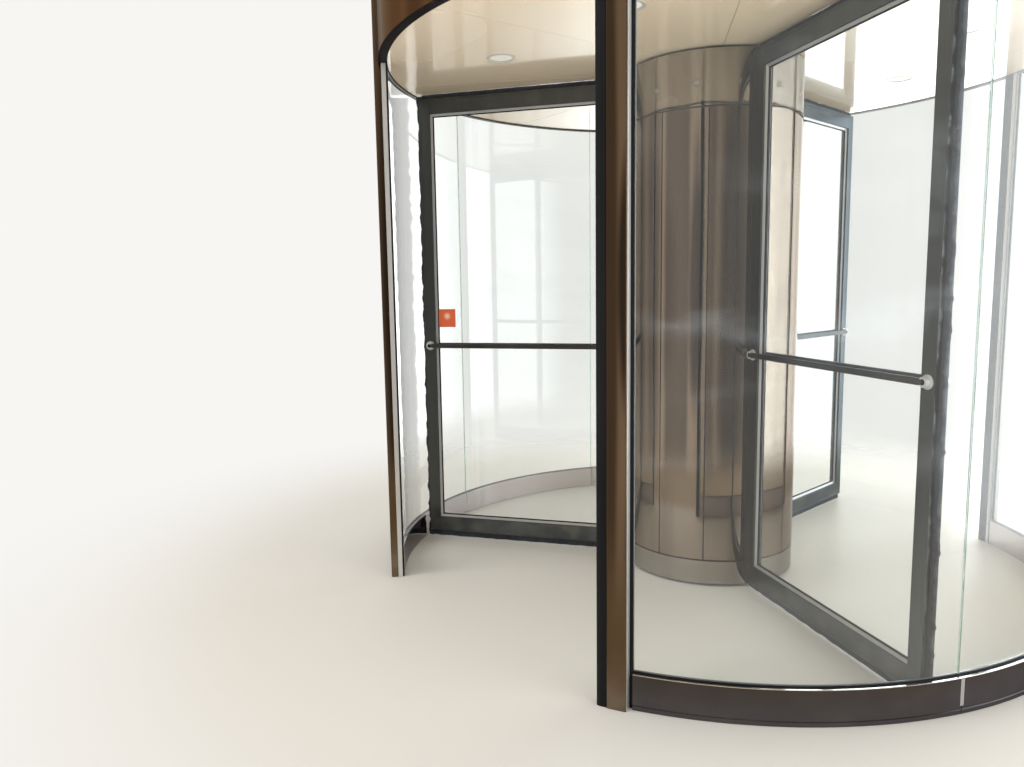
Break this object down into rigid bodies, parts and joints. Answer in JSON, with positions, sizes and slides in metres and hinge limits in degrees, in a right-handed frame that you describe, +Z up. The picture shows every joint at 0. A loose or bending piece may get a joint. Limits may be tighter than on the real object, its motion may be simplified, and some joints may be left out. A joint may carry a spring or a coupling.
{
  "type": "revolving door",
  "caption": "Automatic revolving door: glazed wings turn with a clad round centre drum inside an enclosure of bent glass, posts and a drum-shaped canopy.",
  "frame": {"origin": "on the floor at the centre of rotation, which is also the centre of the round enclosure", "axes": "+Z up; -Y towards the lobby opening and +Y towards the street opening; the bent glass walls stand at +X and -X"},
  "size_m": [3.16, 3.16, 2.85],
  "materials": {
    "bronze_steel": "bronze-black mirror-polished stainless steel",
    "fascia_steel": "brown-bronze mirror-polished stainless steel",
    "drum_steel": "brown-bronze mirror-polished stainless steel sheets",
    "wing_steel": "black-bronze polished stainless steel",
    "dark_steel": "near-black satin metal",
    "bright_steel": "bright polished stainless steel",
    "bar_steel": "dark polished steel",
    "plain_steel": "grey primed steel",
    "roof_sheet": "dark grey sheet",
    "black_rubber": "matt black rubber",
    "brush_pile": "blue-black brush pile",
    "bent_glass": "clear laminated glass with a faint green tint",
    "wing_glass": "clear toughened glass",
    "clear_sealant": "translucent sealant",
    "cream_panel": "cream gloss composite panel",
    "white_trim": "white painted trim",
    "lamp_lens": "frosted lamp lens"
  },
  "bodies": {
    "enclosure": {"post_lobby_east": "bronze_steel", "post_lobby_west": "bronze_steel", "post_street_east": "bronze_steel", "post_street_west": "bronze_steel", "glazing_jambs": "bright_steel", "safety_strips": "black_rubber", "east_glass_lobby": "bent_glass", "east_glass_middle": "bent_glass", "east_glass_street": "bent_glass", "west_glass_street": "bent_glass", "west_glass_middle": "bent_glass", "west_glass_lobby": "bent_glass", "glass_joint_seals": "clear_sealant", "glazing_gaskets": "black_rubber", "east_rail_lobby": "bronze_steel", "east_rail_middle": "bronze_steel", "east_rail_street": "bronze_steel", "west_rail_street": "bronze_steel", "west_rail_middle": "bronze_steel", "west_rail_lobby": "bronze_steel", "soffit_ring": "dark_steel", "fascia_lobby": "fascia_steel", "fascia_east": "fascia_steel", "fascia_street": "fascia_steel", "fascia_west": "fascia_steel", "soffit": "cream_panel", "downlight_rims": "white_trim", "downlight_lenses": "lamp_lens", "canopy_frame": "plain_steel", "top_bearing": "plain_steel", "roof_deck": "roof_sheet", "floor_pivot": "plain_steel"},
    "rotor": {"drum_core": "dark_steel", "drum_panels": "drum_steel", "drum_header": "drum_steel", "drum_skirt": "bronze_steel", "wing_1_frame": "wing_steel", "wing_2_frame": "wing_steel", "wing_3_frame": "wing_steel", "wing_beads": "bright_steel", "wing_1_glass": "wing_glass", "wing_2_glass": "wing_glass", "wing_3_glass": "wing_glass", "push_bars": "bar_steel", "wing_brushes": "brush_pile"}
  },
  "joints": [
    {"name": "rotor_turn", "type": "hinge", "parent": "enclosure", "child": "rotor", "pos_m": [0, 0, 0], "axis": [0, 0, 1], "continuous": true}
  ]
}
